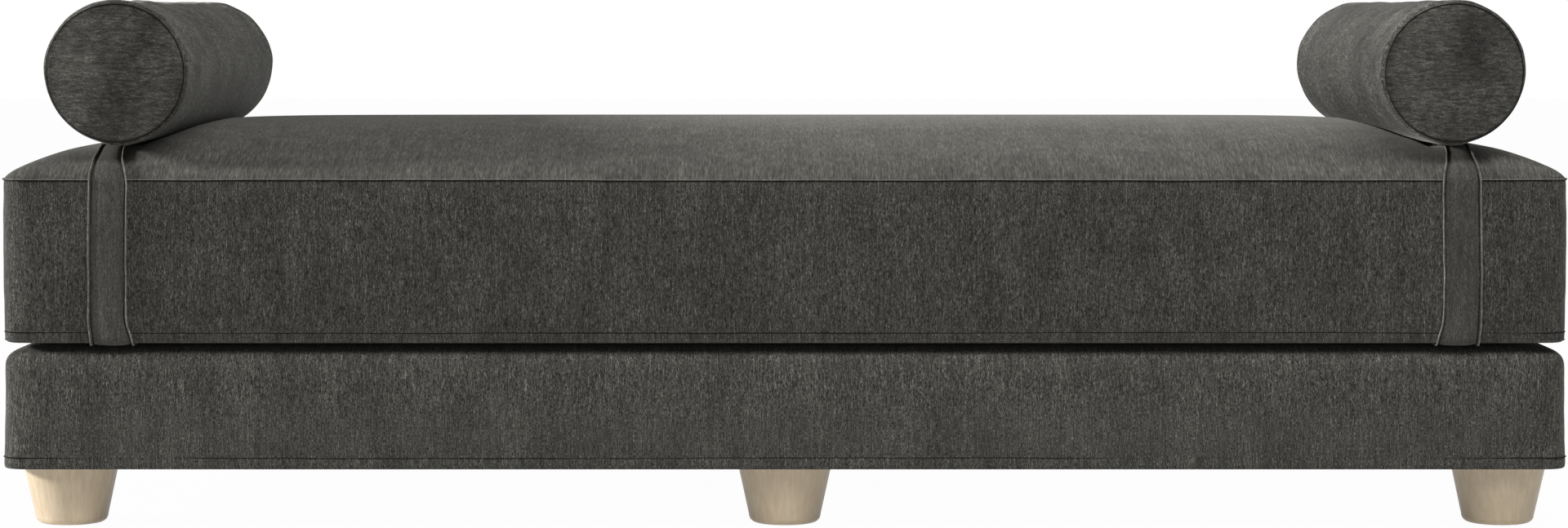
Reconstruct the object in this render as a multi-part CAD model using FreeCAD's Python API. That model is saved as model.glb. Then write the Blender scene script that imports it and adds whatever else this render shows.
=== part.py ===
import FreeCAD, Part
import math
import os

# A backless divan, in millimetres. X runs along its length, Y from front to back, Z up.
# The origin is on the floor, under the middle.
# A low upholstered base on six tapered legs carries a crowned mattress of the same plan.
# A sewn fabric hinge at the back joins the two, so that the mattress folds over backwards.
# Two bolsters lie on top, each on a strap that loops round the mattress near its end.

# plan of the base and of the mattress
length = 2000.0
depth = 800.0
corner_radius = 28.0

# heights above the floor
base_underside = 79.8
base_bottom_seam = 92.8
base_roll_start = 219.5
base_rim_height = 236.2
base_crown_height = 239.9
mattress_underside = 240.2
mattress_bottom_seam = 253.8
mattress_top_seam = 449.4
crown_rise = 70.0
crown_reach_x = 300.0
crown_reach_y = 360.0
crown_fullness = 1.74
crown_steepness = 0.7
bolster_axis_height = 586.0

# upholstery
cover_thickness = 2.0
wrap_thickness = 10.0
mattress_wrap_thickness = 18.0
hem_width = 37.0
base_roll_width = 34.0
seam_draw = 3.0
mattress_edge_roll = 7.0
dust_cover_thickness = 1.0
dust_cover_inset = 25.0

# timber frame of the base
rail_thickness = 25.0
frame_inset = 12.0
cross_rail_x = (-500.0, 0.0, 500.0)
corner_block_size = 70.0
deck_underside = 160.0
deck_thickness = 9.0
plate_length = 150.0
plate_width = 113.0
plate_thickness = 25.2
screw_radius = 2.5
screw_head_radius = 5.0
screw_length = 70.0
screw_heights = (118.0, 148.0)

# legs
leg_row_x = (-928.0, 0.0, 928.0)
leg_row_names = ("left", "middle", "right")
leg_inset = 70.0
leg_top_radius = 61.5
leg_bottom_radius = 44.5
leg_edge_radius = 10.0
glide_radius = 25.0
glide_thickness = 3.0
glide_recess = 1.5
bolt_radius = 4.0
bolt_in_leg = 35.0
bolt_in_plate = 24.0
nut_barrel_radius = 5.5
nut_flange_radius = 11.0
nut_flange_thickness = 1.5
nut_length = 17.0

# fabric hinge
hinge_flap_length = 1640.0
hinge_flap_thickness = 2.0
hinge_height = 238.1
hinge_flap_reach = 60.0

# bolsters and their straps
bolster_x = 855.5
bolster_radius = 93.5
bolster_length = 790.0
bolster_seam_radius = 87.5
bolster_shoulder = 16.0
bolster_dome = 9.0
strap_x = 863.0
strap_width = 48.0
strap_thickness = 3.0
strap_corner_radius = 7.0

# air left between pieces that move past each other
clearance = 0.3

half_length = length / 2
half_depth = depth / 2
leg_row_y = half_depth - leg_inset
rail_underside = base_underside + dust_cover_thickness + cover_thickness
plate_underside = base_underside + dust_cover_thickness
strap_top = bolster_axis_height - bolster_radius
seat_height = strap_top - strap_thickness - clearance
big = 3000.0


def point(x, y, z):
    return FreeCAD.Vector(x, y, z)


def box(x0, x1, y0, y1, z0, z1):
    return Part.makeBox(x1 - x0, y1 - y0, z1 - z0, point(x0, y0, z0))


def slab(z0, z1):
    """Everything between two heights."""
    return box(-big, big, -big, big, z0, z1)


def upright(radius, x, y, z0, z1):
    return Part.makeCylinder(radius, z1 - z0, point(x, y, z0), point(0, 0, 1))


def join(solids):
    whole = solids[0]
    for solid in solids[1:]:
        whole = whole.fuse(solid)
    return whole.removeSplitter()


def rounded_outline(inset_x, inset_y, height):
    """The plan, drawn in at its ends and sides: straight lines, and arcs at the corners."""
    x = half_length - inset_x
    y = half_depth - inset_y
    radius = min(corner_radius + inset_y / 2, 0.9 * y)
    slant = radius * (1 - math.sqrt(0.5))
    edges = []
    corners = ((1, 1), (-1, 1), (-1, -1), (1, -1))
    for turn, (sx, sy) in enumerate(corners):
        along_x = point(sx * (x - radius), sy * y, height)
        along_y = point(sx * x, sy * (y - radius), height)
        middle = point(sx * (x - slant), sy * (y - slant), height)
        first, last = (along_y, along_x) if turn % 2 == 0 else (along_x, along_y)
        edges.append(Part.Arc(first, middle, last).toShape())
        nx, ny = corners[(turn + 1) % 4]
        if turn % 2 == 0:
            following = point(nx * (x - radius), ny * y, height)
        else:
            following = point(nx * x, ny * (y - radius), height)
        edges.append(Part.makeLine(last, following))
    return Part.Wire(edges)


def stack(sections):
    """A solid through outlines, each given by its inset at the ends and sides, and its height."""
    wires = [rounded_outline(inset_x, inset_y, height) for inset_x, inset_y, height in sections]
    return Part.makeLoft(wires, True, True)


def quarter_turn(steps, last_degrees=90.0):
    return [math.radians(last_degrees * step / steps) for step in range(steps + 1)]


def base_block(layer, underside):
    """The base's form, drawn in by layer on its sides and top."""
    roll_height = base_rim_height - base_roll_start
    profile = [(layer + seam_draw, underside)]
    profile.append((layer, base_bottom_seam))
    for angle in quarter_turn(5):
        inset = layer + base_roll_width * (1 - math.cos(angle))
        profile.append((inset, base_roll_start - layer + roll_height * math.sin(angle)))
    profile.append((layer + 180.0, base_rim_height + clearance - layer))
    profile.append((layer + 320.0, base_crown_height - layer))
    return stack([(inset, inset, height) for inset, height in profile])


def crown_share(reach_share):
    """How much of its full rise the crown has, at a share of the way in from the seam."""
    return (1 - (1 - reach_share) ** crown_fullness) ** crown_steepness


def mattress_block(layer):
    """The mattress's form, drawn in by layer, with the seats that the bolsters press."""
    roll = mattress_edge_roll
    sections = []
    for angle in quarter_turn(4):
        inset = layer + roll * (1 - math.sin(angle))
        height = mattress_underside + layer + roll * (1 - math.cos(angle))
        sections.append((inset, inset, height))
    sections.append((layer, layer, (mattress_bottom_seam + mattress_top_seam) / 2))
    inset = layer + seam_draw
    for share in (0.0, 0.02, 0.06, 0.12, 0.2, 0.3, 0.42, 0.56, 0.75, 1.0):
        height = mattress_top_seam - layer + crown_rise * crown_share(share)
        sections.append((inset + crown_reach_x * share, inset + crown_reach_y * share, height))
    return stack(sections).cut(Part.makeCompound(bolster_seats(layer)))


def bolster_seats(layer):
    """What each bolster and its strap press away, out to the mattress's end."""
    seats = []
    for side in (-1, 1):
        start = point(side * bolster_x, -depth, bolster_axis_height)
        radius = bolster_radius + clearance + layer
        trough = Part.makeCylinder(radius, 2 * depth, start, point(0, 1, 0))
        inner = strap_x - strap_width / 2 - clearance - layer
        near, far = sorted((side * inner, side * length))
        ledge = box(near, far, -depth, depth, seat_height - layer, length)
        seats.append(trough.fuse(ledge))
    return seats


def base_upholstery(parts):
    """Cover, lower band with its hem, fibre wrap and foam of the base."""
    outer = base_block(0.0, plate_underside)
    lining = base_block(cover_thickness, plate_underside - cover_thickness)
    frame_block = base_block(frame_inset, base_underside)
    skin = outer.cut(lining)
    parts["base_cover"] = skin.common(slab(base_bottom_seam, big))
    hem_x = half_length - hem_width
    hem_y = half_depth - hem_width
    inside_hem = box(-hem_x, hem_x, -hem_y, hem_y, 0, length)
    hem = outer.common(slab(plate_underside, rail_underside)).cut(inside_hem)
    parts["base_bottom_band"] = join([skin.common(slab(0, base_bottom_seam)), hem])
    wrap = lining.common(slab(rail_underside, big)).cut(frame_block)
    parts["base_fibre_wrap"] = wrap
    foam_slab = slab(deck_underside + deck_thickness, big)
    parts["base_foam"] = frame_block.common(foam_slab)


def frame_screws():
    """Countersunk screws through the long rails into the ends of the cross rails."""
    screws = []
    for x in cross_rail_x:
        for side in (-1, 1):
            for height in screw_heights:
                start = point(x, side * (half_depth - frame_inset), height)
                inwards = point(0, -side, 0)
                shank = Part.makeCylinder(screw_radius, screw_length, start, inwards)
                head_depth = screw_head_radius - screw_radius
                head = Part.makeCone(screw_head_radius, screw_radius, head_depth, start, inwards)
                screws.append(shank.fuse(head).removeSplitter())
    return screws


def corner_block(corner_x, corner_y, z0, z1):
    """A three-sided glue block that fills the angle between two rails."""
    reach_x = corner_x - math.copysign(corner_block_size, corner_x)
    reach_y = corner_y - math.copysign(corner_block_size, corner_y)
    corners = [
        point(corner_x, corner_y, z0),
        point(reach_x, corner_y, z0),
        point(corner_x, reach_y, z0),
        point(corner_x, corner_y, z0),
    ]
    return Part.Face(Part.makePolygon(corners)).extrude(point(0, 0, z1 - z0))


def base_frame(parts):
    """Four outer rails, three cross rails, corner blocks, screws and the plywood deck."""
    block = base_block(frame_inset, base_underside)
    outer_x = half_length
    outer_y = half_depth
    inner_x = half_length - frame_inset - rail_thickness
    inner_y = half_depth - frame_inset - rail_thickness
    z0, z1 = rail_underside, deck_underside
    rails = {
        "base_front_rail": box(-outer_x, outer_x, -outer_y, -inner_y, z0, z1),
        "base_back_rail": box(-outer_x, outer_x, inner_y, outer_y, z0, z1),
        "base_left_rail": box(-outer_x, -inner_x, -inner_y, inner_y, z0, z1),
        "base_right_rail": box(inner_x, outer_x, -inner_y, inner_y, z0, z1),
    }
    screws = Part.makeCompound(frame_screws())
    for name, rail in rails.items():
        parts[name] = rail.common(block).cut(screws)
    z_cross = plate_underside + plate_thickness
    cross_rails = []
    for x in cross_rail_x:
        x0 = x - rail_thickness / 2
        rail = box(x0, x0 + rail_thickness, -inner_y, inner_y, z_cross, z1)
        cross_rails.append(rail.cut(screws))
    blocks = []
    for x in (-inner_x, inner_x):
        for y in (-inner_y, inner_y):
            blocks.append(corner_block(x, y, z_cross, z1))
    parts["base_cross_rails"] = Part.makeCompound(cross_rails)
    parts["base_corner_blocks"] = Part.makeCompound(blocks)
    parts["frame_screws"] = screws
    parts["base_deck"] = block.common(slab(z1, z1 + deck_thickness))


def leg_places():
    """Every leg's name and centre."""
    places = []
    for row, side in (("front", -1), ("back", 1)):
        for name, x in zip(leg_row_names, leg_row_x):
            places.append(("leg_" + row + "_" + name, x, side * leg_row_y))
    return places


def leg_solid(x, y):
    """A turned, tapered leg with a rounded foot, a bolt hole and a recess for its glide."""
    top = base_underside
    foot = glide_thickness - glide_recess
    slope = (leg_top_radius - leg_bottom_radius) / (top - foot)
    edge_z = foot + leg_edge_radius
    edge_r = leg_bottom_radius + slope * leg_edge_radius
    curve = leg_edge_radius * (1 - math.sqrt(0.5))
    corners = [
        point(0, 0, foot),
        point(edge_r - leg_edge_radius, 0, foot),
        point(edge_r - curve, 0, foot + curve),
        point(edge_r, 0, edge_z),
        point(leg_top_radius, 0, top),
        point(0, 0, top),
    ]
    outline = Part.Wire([
        Part.makeLine(corners[0], corners[1]),
        Part.Arc(corners[1], corners[2], corners[3]).toShape(),
        Part.makeLine(corners[3], corners[4]),
        Part.makeLine(corners[4], corners[5]),
        Part.makeLine(corners[5], corners[0]),
    ])
    leg = Part.Face(outline).revolve(point(0, 0, 0), point(0, 0, 1), 360)
    leg.translate(point(x, y, 0))
    leg = leg.cut(upright(bolt_radius, x, y, top - bolt_in_leg, top + 1))
    return leg.cut(upright(glide_radius, x, y, 0, glide_thickness))


def legs_and_hardware(parts):
    """Legs, glides, hanger bolts, and the plates with tee nuts that the bolts screw into."""
    glides = []
    bolts = []
    nuts = []
    plates = []
    inset = dust_cover_inset
    dust_cover = stack([(inset, inset, base_underside), (inset, inset, plate_underside)])
    plate_top = plate_underside + plate_thickness
    for name, x, y in leg_places():
        parts[name] = leg_solid(x, y)
        glides.append(upright(glide_radius, x, y, 0, glide_thickness))
        bolt_top = plate_underside + bolt_in_plate
        bolts.append(upright(bolt_radius, x, y, base_underside - bolt_in_leg, bolt_top))
        barrel = upright(nut_barrel_radius, x, y, plate_top - nut_length, plate_top)
        flange_underside = plate_top - nut_flange_thickness
        flange = upright(nut_flange_radius, x, y, flange_underside, plate_top)
        nut = join([barrel, flange])
        bore = upright(bolt_radius, x, y, 0, length)
        nuts.append(nut.cut(bore))
        side = 1 if y > 0 else -1
        inner_x = half_length - frame_inset - rail_thickness
        x0 = max(-inner_x, min(x - plate_length / 2, inner_x - plate_length))
        rail_face = side * (half_depth - frame_inset - rail_thickness)
        y0, y1 = sorted((rail_face, rail_face - side * plate_width))
        plate = box(x0, x0 + plate_length, y0, y1, plate_underside, plate_top)
        plates.append(plate.cut(nut).cut(bore))
        dust_cover = dust_cover.cut(bore)
    parts["leg_glides"] = Part.makeCompound(glides)
    parts["leg_hanger_bolts"] = Part.makeCompound(bolts)
    parts["tee_nuts"] = Part.makeCompound(nuts)
    parts["leg_mounting_plates"] = Part.makeCompound(plates)
    parts["dust_cover"] = dust_cover


def mattress(parts):
    """Foam core, fibre wrap, and the cover's top, side and bottom panels."""
    outer = mattress_block(0.0)
    lining = mattress_block(cover_thickness)
    core = mattress_block(cover_thickness + mattress_wrap_thickness)
    skin = outer.cut(lining)
    parts["mattress_core_foam"] = core
    parts["mattress_fibre_wrap"] = lining.cut(core)
    parts["mattress_bottom_panel"] = skin.common(slab(0, mattress_bottom_seam))
    parts["mattress_side_band"] = skin.common(slab(mattress_bottom_seam, mattress_top_seam))
    parts["mattress_top_panel"] = skin.common(slab(mattress_top_seam, big))


def fabric_hinge(parts):
    """Two flaps, sewn to the backs of the base and the mattress and to each other."""
    x = hinge_flap_length / 2
    y0 = half_depth
    y1 = half_depth + hinge_flap_thickness
    low = hinge_height - hinge_flap_reach
    high = hinge_height + hinge_flap_reach
    parts["hinge_flap_base"] = box(-x, x, y0, y1, low, hinge_height)
    parts["hinge_flap_mattress"] = box(-x, x, y0, y1, hinge_height, high)


def bolster_form(layer):
    """A straight round bolster with rolled shoulders and domed ends, lying along Y."""
    end = bolster_length / 2
    seam = end - bolster_dome
    shoulder = seam - bolster_shoulder
    radius = bolster_radius - layer
    seam_radius = bolster_seam_radius - layer
    halves = []
    for side in (-1, 1):
        middle = point(0, 0, 0)
        tip = point(0, side * (end - layer), 0)
        dome = point(seam_radius / 2, side * (end - layer - bolster_dome / 4), 0)
        rim = point(seam_radius, side * (seam - layer), 0)
        bend_y = side * (shoulder - layer + 0.62 * bolster_shoulder)
        bend = point(seam_radius + 0.72 * (radius - seam_radius), bend_y, 0)
        side_start = point(radius, side * (shoulder - layer), 0)
        waist = point(radius, 0, 0)
        outline = Part.Wire([
            Part.makeLine(middle, tip),
            Part.Arc(tip, dome, rim).toShape(),
            Part.Arc(rim, bend, side_start).toShape(),
            Part.makeLine(side_start, waist),
            Part.makeLine(waist, middle),
        ])
        face = Part.Face(outline)
        halves.append(face.revolve(point(0, 0, 0), point(0, 1, 0), 360))
    return join(halves)


def strap_outline(gap):
    """Outline of the mattress at the strap, gap away from it, in the Y-Z plane."""
    y = half_depth + gap
    rise = crown_rise + gap
    reach = crown_reach_y + seam_draw
    top = seat_height + gap
    bottom = mattress_underside - gap
    radius = strap_corner_radius + gap
    top_share = 1 - (1 - ((top - mattress_top_seam) / rise) ** (1 / crown_steepness)) ** (1 / crown_fullness)
    top_y = y - reach * top_share
    edges = []
    slant = radius * (1 - math.sqrt(0.5))
    for side in (-1, 1):
        places = []
        for step in range(9):
            share = top_share * (step / 8) ** 2
            places.append(point(0, side * (y - reach * share), mattress_top_seam + rise * crown_share(share)))
        shoulder = Part.BSplineCurve()
        shoulder.interpolate(places)
        edges.append(shoulder.toShape())
        wall_low = point(0, side * y, bottom + radius)
        bend = point(0, side * (y - slant), bottom + slant)
        foot = point(0, side * (y - radius), bottom)
        edges.append(Part.makeLine(point(0, side * y, mattress_top_seam), wall_low))
        edges.append(Part.Arc(wall_low, bend, foot).toShape())
    edges.append(Part.makeLine(point(0, top_y, top), point(0, -top_y, top)))
    edges.append(Part.makeLine(point(0, radius - y, bottom), point(0, y - radius, bottom)))
    return Part.Face(Part.Wire(Part.sortEdges(edges)[0]))


def strap_solid():
    """A flat loop round the mattress, along X from minus to plus half its width."""
    outer = strap_outline(clearance + strap_thickness)
    ring = outer.cut(strap_outline(clearance))
    ring.translate(point(-strap_width / 2, 0, 0))
    return ring.extrude(point(strap_width, 0, 0))


def bolsters(parts):
    """Filling, sewn tube, two end discs and the strap of each bolster."""
    filling = bolster_form(cover_thickness)
    skin = bolster_form(0.0).cut(filling)
    seam = bolster_length / 2 - bolster_dome
    tube_zone = box(-big, big, -seam, seam, -big, big)
    front_zone = box(-big, big, -big, -seam, -big, big)
    back_zone = box(-big, big, seam, big, -big, big)
    strap = strap_solid()
    for name, side in (("left_bolster", -1), ("right_bolster", 1)):
        place = point(side * bolster_x, 0, bolster_axis_height)
        pieces = {
            "filling": filling,
            "tube": skin.common(tube_zone),
            "front_disc": skin.common(front_zone),
            "back_disc": skin.common(back_zone),
        }
        for piece, solid in pieces.items():
            parts[name + "_" + piece] = solid.translated(place)
        parts[name + "_strap"] = strap.translated(point(side * strap_x, 0, 0))


def main():
    os.makedirs("parts", exist_ok=True)
    parts = {}
    base_upholstery(parts)
    base_frame(parts)
    legs_and_hardware(parts)
    mattress(parts)
    fabric_hinge(parts)
    bolsters(parts)
    for name, shape in parts.items():
        solids = shape.Solids
        print(name, len(solids), "solids", round(shape.Volume), "mm3", shape.isValid())
        result = solids[0] if len(solids) == 1 else Part.makeCompound(solids)
        result.exportStep("parts/" + name + ".step")


main()
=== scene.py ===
import math
import bpy
import numpy as np
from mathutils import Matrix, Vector

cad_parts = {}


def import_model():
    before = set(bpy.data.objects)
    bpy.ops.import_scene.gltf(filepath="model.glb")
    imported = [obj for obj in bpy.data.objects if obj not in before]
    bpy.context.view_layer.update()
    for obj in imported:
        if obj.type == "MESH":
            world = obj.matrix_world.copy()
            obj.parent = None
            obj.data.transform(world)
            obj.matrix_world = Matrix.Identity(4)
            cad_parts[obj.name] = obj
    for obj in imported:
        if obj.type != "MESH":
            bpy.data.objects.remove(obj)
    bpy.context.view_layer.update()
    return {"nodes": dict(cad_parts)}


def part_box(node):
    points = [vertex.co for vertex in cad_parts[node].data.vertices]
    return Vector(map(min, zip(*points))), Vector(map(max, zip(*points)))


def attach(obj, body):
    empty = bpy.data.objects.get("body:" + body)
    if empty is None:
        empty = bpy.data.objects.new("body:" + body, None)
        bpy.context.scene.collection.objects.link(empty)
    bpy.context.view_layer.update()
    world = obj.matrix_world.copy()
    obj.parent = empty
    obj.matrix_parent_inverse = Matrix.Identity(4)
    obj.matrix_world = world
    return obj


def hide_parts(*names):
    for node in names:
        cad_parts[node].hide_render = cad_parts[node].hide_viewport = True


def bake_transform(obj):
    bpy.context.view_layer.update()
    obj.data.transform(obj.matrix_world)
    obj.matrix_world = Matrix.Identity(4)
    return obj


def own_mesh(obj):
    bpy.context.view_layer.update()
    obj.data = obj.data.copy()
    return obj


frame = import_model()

# A backless divan in metres: X along its length, Y from front to back, Z up.
# A crowned mattress lies on a low upholstered base with six turned wooden legs.
# Two bolsters lie on top, each on a strap that loops round the mattress.

# camera, fitted to the photograph's outlines
photo_width = 1920
camera_x = -0.0010
camera_in_front = 4.735
camera_height = 0.657
camera_pitch = math.radians(3.803)
focal_pixels = 4548.0
sensor_width = 36.0

# heights and half sizes that the frame gives
crown_low, crown_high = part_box("mattress_top_panel")
band_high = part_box("mattress_side_band")[1]
under_low, under_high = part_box("mattress_bottom_panel")
base_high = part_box("base_cover")[1]
hem_low, hem_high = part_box("base_bottom_band")
strap_low, strap_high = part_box("left_bolster_strap")
tube_low, tube_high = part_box("left_bolster_tube")
disc_low, disc_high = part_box("left_bolster_front_disc")
fabric_ease = 0.0035
half_length = band_high.x + fabric_ease
half_depth = band_high.y
back_limit = half_depth + 0.0002
top_seam = crown_low.z
crown_top = crown_high.z
bottom_seam = under_high.z
underside = under_low.z
base_seam = hem_high.z
base_bottom = hem_low.z
base_top = base_high.z
bolster_x = (tube_low.x + tube_high.x) / 2
bolster_z = (tube_low.z + tube_high.z) / 2
bolster_radius = (tube_high.z - tube_low.z) / 2
bolster_end = disc_low.y
bolster_seam_y = disc_high.y
bolster_seam_radius = (disc_high.z - disc_low.z) / 2
strap_half_width = (strap_high.x - strap_low.x) / 2
strap_x = (strap_low.x + strap_high.x) / 2

# covers of the mattress and the base
corner_radius = 0.028
grid_step = 0.0125
edge_steps = (0.0022, 0.006, 0.012, 0.020)
seam_draw = 0.001
seam_waver = 0.0006
panel_x = half_length - seam_draw
panel_y = half_depth - seam_draw
crown_reach_x = 0.300
crown_reach_y = 0.360
crown_fullness = 2.0
crown_steepness = 0.7
edge_roll = 0.006
base_roll_width = 0.036
base_roll_height = 0.0215
base_roll_start = 0.2147
mattress_swell = 0.002
base_swell = 0.0015
base_flare = 0.0025
base_middle_rise = 0.0034
seat_ease = 0.006
contact_gap = 0.0006

# straps: the draw narrows the top, the lean and the foot move the lower end
strap_thickness = 0.003
strap_bulge = 0.0030
strap_draw = 0.017
strap_lean = 0.0045
strap_gap = 0.0003
strap_turn_radius = 0.007
strap_step = 0.006
strap_foot_height = 0.020
strap_foot_outer = 0.003
strap_foot_flare = 0.0055

# bolsters: the turn sets the back end slightly inwards
bolster_swell = 0.002
bolster_turn = 0.004
bolster_shoulder = 0.016
bolster_dome = 1.45 * (bolster_seam_y - bolster_end)
bolster_rest = bolster_z - bolster_radius + 0.0003

# fabric and wood colours, linear
cloth_base = (0.0500, 0.0485, 0.0436)
# thread colour near black: the stitching's own darker colour, deepened as painted shade of the seam grooves
# and creases it lies in
thread_and_painted_groove_shade = (0.006, 0.006, 0.005)
leg_pale = (0.70, 0.575, 0.415)
leg_grain = (0.60, 0.475, 0.325)
timber_pale = (0.60, 0.46, 0.29)
timber_grain = (0.46, 0.32, 0.18)
plywood_pale = (0.62, 0.49, 0.33)
plywood_grain = (0.50, 0.38, 0.24)


def crown_share(reach_share):
    """How much of its full rise the crown has, at a share of the way in from the seam."""
    return (1 - (1 - np.clip(reach_share, 0.0, 1.0)) ** crown_fullness) ** crown_steepness


def inset_share(x, y, half_x, half_y, reach_x, reach_y):
    """How far in a point lies, as a share of each side's reach, with the corners eased."""
    share_x = np.maximum(half_x - np.abs(x), 1e-6) / reach_x
    share_y = np.maximum(half_y - np.abs(y), 1e-6) / reach_y
    return (share_x ** -4 + share_y ** -4) ** -0.25


def edge_spaced(half, step):
    """Places from -half to half: close together near the ends, and about step apart between."""
    inner = half - edge_steps[-1]
    count = max(2, round(2 * inner / step))
    middle = np.linspace(-inner, inner, count + 1)
    ends = np.array([half] + [half - s for s in edge_steps[:-1]])
    return np.concatenate([-ends, middle, ends[::-1]])


def plan_grid(half_x, half_y):
    """A grid over the plan: its points before and after they are bent round the corners."""
    x, y = np.meshgrid(edge_spaced(half_x, grid_step), edge_spaced(half_y, grid_step), indexing="ij")
    cell = 2 * corner_radius
    a = (np.abs(x) - (half_x - cell)) / cell
    b = (np.abs(y) - (half_y - cell)) / cell
    in_corner = (a > 0) & (b > 0)
    a = np.where(in_corner, a, 0.0)
    b = np.where(in_corner, b, 0.0)
    reach = np.maximum(np.maximum(a, b), 1e-9)
    dx, dy = a / reach, b / reach
    r = corner_radius / cell
    centre = 1 - r
    dot = (dx + dy) * centre
    square = np.maximum(dx * dx + dy * dy, 1e-9)
    root = np.sqrt(np.maximum(dot * dot - square * (2 * centre * centre - r * r), 0.0))
    hit = (dot + root) / square
    on_arc = (hit * dx > centre) & (hit * dy > centre)
    hit = np.where(on_arc, hit, 1.0)
    pull = 1 - (1 - hit) * reach ** 3
    new_x = np.sign(x) * (half_x - cell + a * pull * cell)
    new_y = np.sign(y) * (half_y - cell + b * pull * cell)
    return x, y, np.where(in_corner, new_x, x), np.where(in_corner, new_y, y)


def border(count_x, count_y):
    """Grid indices round the border, counter-clockwise from above."""
    loop = [(i, 0) for i in range(count_x - 1)]
    loop += [(count_x - 1, j) for j in range(count_y - 1)]
    loop += [(i, count_y - 1) for i in range(count_x - 1, 0, -1)]
    loop += [(0, j) for j in range(count_y - 1, 0, -1)]
    return loop


def outline_normals(loop_x, loop_y, half_x, half_y):
    """Outward directions of the rounded plan at its border points."""
    qx = np.maximum(np.abs(loop_x) - (half_x - corner_radius), 0.0)
    qy = np.maximum(np.abs(loop_y) - (half_y - corner_radius), 0.0)
    size = np.maximum(np.hypot(qx, qy), 1e-9)
    return np.sign(loop_x) * qx / size, np.sign(loop_y) * qy / size


def make_mesh(name, points, faces):
    mesh = bpy.data.meshes.new(name)
    mesh.from_pydata([tuple(p) for p in points], [], faces)
    mesh.update()
    piece = bpy.data.objects.new(name, mesh)
    bpy.context.scene.collection.objects.link(piece)
    smooth(piece)
    return piece


def smooth(piece):
    piece.data.polygons.foreach_set("use_smooth", [True] * len(piece.data.polygons))


def points_of(piece):
    points = np.empty(len(piece.data.vertices) * 3)
    piece.data.vertices.foreach_get("co", points)
    return points.reshape(-1, 3)


def put_points(piece, points):
    piece.data.vertices.foreach_set("co", points.reshape(-1))
    piece.data.update()


def box_cushion(name, half_x, half_y, top_height, rows):
    """A closed cushion: a top panel of the given height field, rows of side points and a flat underside.

    rows are pairs of outward offset and height, from just under the top seam to the underside.
    """
    square_x, square_y, x, y = plan_grid(half_x, half_y)
    count_x, count_y = x.shape
    top = np.stack([x, y, top_height(square_x, square_y)], axis=-1).reshape(-1, 3)
    index = np.arange(count_x * count_y).reshape(count_x, count_y)
    faces = []
    for i in range(count_x - 1):
        for j in range(count_y - 1):
            faces.append((index[i, j], index[i + 1, j], index[i + 1, j + 1], index[i, j + 1]))
    loop = border(count_x, count_y)
    rim = [index[i, j] for i, j in loop]
    rim_x, rim_y = top[rim, 0], top[rim, 1]
    out_x, out_y = outline_normals(rim_x, rim_y, half_x, half_y)
    points = [top]
    upper = rim
    start = len(top)
    for offset, height in rows:
        ring = np.stack([rim_x + out_x * offset, rim_y + out_y * offset, np.full(len(rim), height)], axis=-1)
        points.append(ring)
        lower = list(range(start, start + len(rim)))
        for k in range(len(rim)):
            n = (k + 1) % len(rim)
            faces.append((upper[k], lower[k], lower[n], upper[n]))
        upper = lower
        start += len(rim)
    last_offset, last_height = rows[-1]
    shrink_x = (half_x + last_offset) / half_x
    shrink_y = (half_y + last_offset) / half_y
    inner = [(i, j) for i in range(1, count_x - 1) for j in range(1, count_y - 1)]
    bottom_index = {}
    for place, (i, j) in zip(upper, loop):
        bottom_index[i, j] = place
    bottom = []
    for i, j in inner:
        bottom_index[i, j] = start + len(bottom)
        bottom.append((x[i, j] * shrink_x, y[i, j] * shrink_y, last_height))
    points.append(np.array(bottom))
    for i in range(count_x - 1):
        for j in range(count_y - 1):
            corners = ((i, j), (i, j + 1), (i + 1, j + 1), (i + 1, j))
            faces.append(tuple(bottom_index[c] for c in corners))
    points = np.concatenate(points)
    faces = [tuple(int(v) for v in face) for face in faces]
    return make_mesh(name, points, faces), rim


def swell(piece, held, pressure, cap, frames=16, extra_cloth=0.0):
    """Blows the piece up as cloth held at its seams, and keeps each point within cap of its start."""
    before = points_of(piece).copy()
    group = piece.vertex_groups.new(name="held")
    group.add([int(v) for v in held], 1.0, "REPLACE")
    cloth = piece.modifiers.new("cloth", "CLOTH")
    settings = cloth.settings
    settings.quality = 4
    settings.mass = 0.3
    settings.tension_stiffness = 12
    settings.compression_stiffness = 12
    settings.shear_stiffness = 6
    settings.bending_stiffness = 0.4
    settings.use_pressure = True
    settings.uniform_pressure_force = pressure
    settings.effector_weights.gravity = 0
    settings.vertex_group_mass = "held"
    settings.shrink_min = -extra_cloth
    cloth.collision_settings.use_collision = False
    cloth.point_cache.frame_end = frames + 1
    scene = bpy.context.scene
    for step in range(1, frames + 1):
        scene.frame_set(step)
    graph = bpy.context.evaluated_depsgraph_get()
    result = piece.evaluated_get(graph)
    after = np.empty(len(result.data.vertices) * 3)
    result.data.vertices.foreach_get("co", after)
    after = after.reshape(-1, 3)
    piece.modifiers.remove(cloth)
    piece.vertex_groups.remove(group)
    scene.frame_set(1)
    move = after - before
    size = np.linalg.norm(move, axis=1, keepdims=True)
    move *= cap * np.tanh(size / cap) / np.maximum(size, 1e-9)
    put_points(piece, before + move)


def subdivide(piece, levels=1):
    modifier = piece.modifiers.new("subdivision", "SUBSURF")
    modifier.levels = levels
    modifier.render_levels = levels
    bake_modifiers(piece)


def bake_modifiers(piece):
    graph = bpy.context.evaluated_depsgraph_get()
    mesh = bpy.data.meshes.new_from_object(piece.evaluated_get(graph))
    piece.modifiers.clear()
    old = piece.data
    piece.data = mesh
    bpy.data.meshes.remove(old)
    smooth(piece)


def crown_height(x, y):
    """The mattress's top: it rises in from every edge, and is pressed down under the bolsters."""
    share = inset_share(x, y, panel_x, panel_y, crown_reach_x, crown_reach_y)
    height = top_seam + (crown_top - top_seam) * crown_share(share)
    return soft_seat(x, height)


def soft_seat(x, height):
    """The crown eases down into each bolster's seat instead of stopping at its edge."""
    limit = seat_limit(x)
    bend = np.clip(0.5 - 0.5 * (limit - height) / seat_ease, 0.0, 1.0)
    return height + (limit - height) * bend - seat_ease * bend * (1 - bend)


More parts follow.
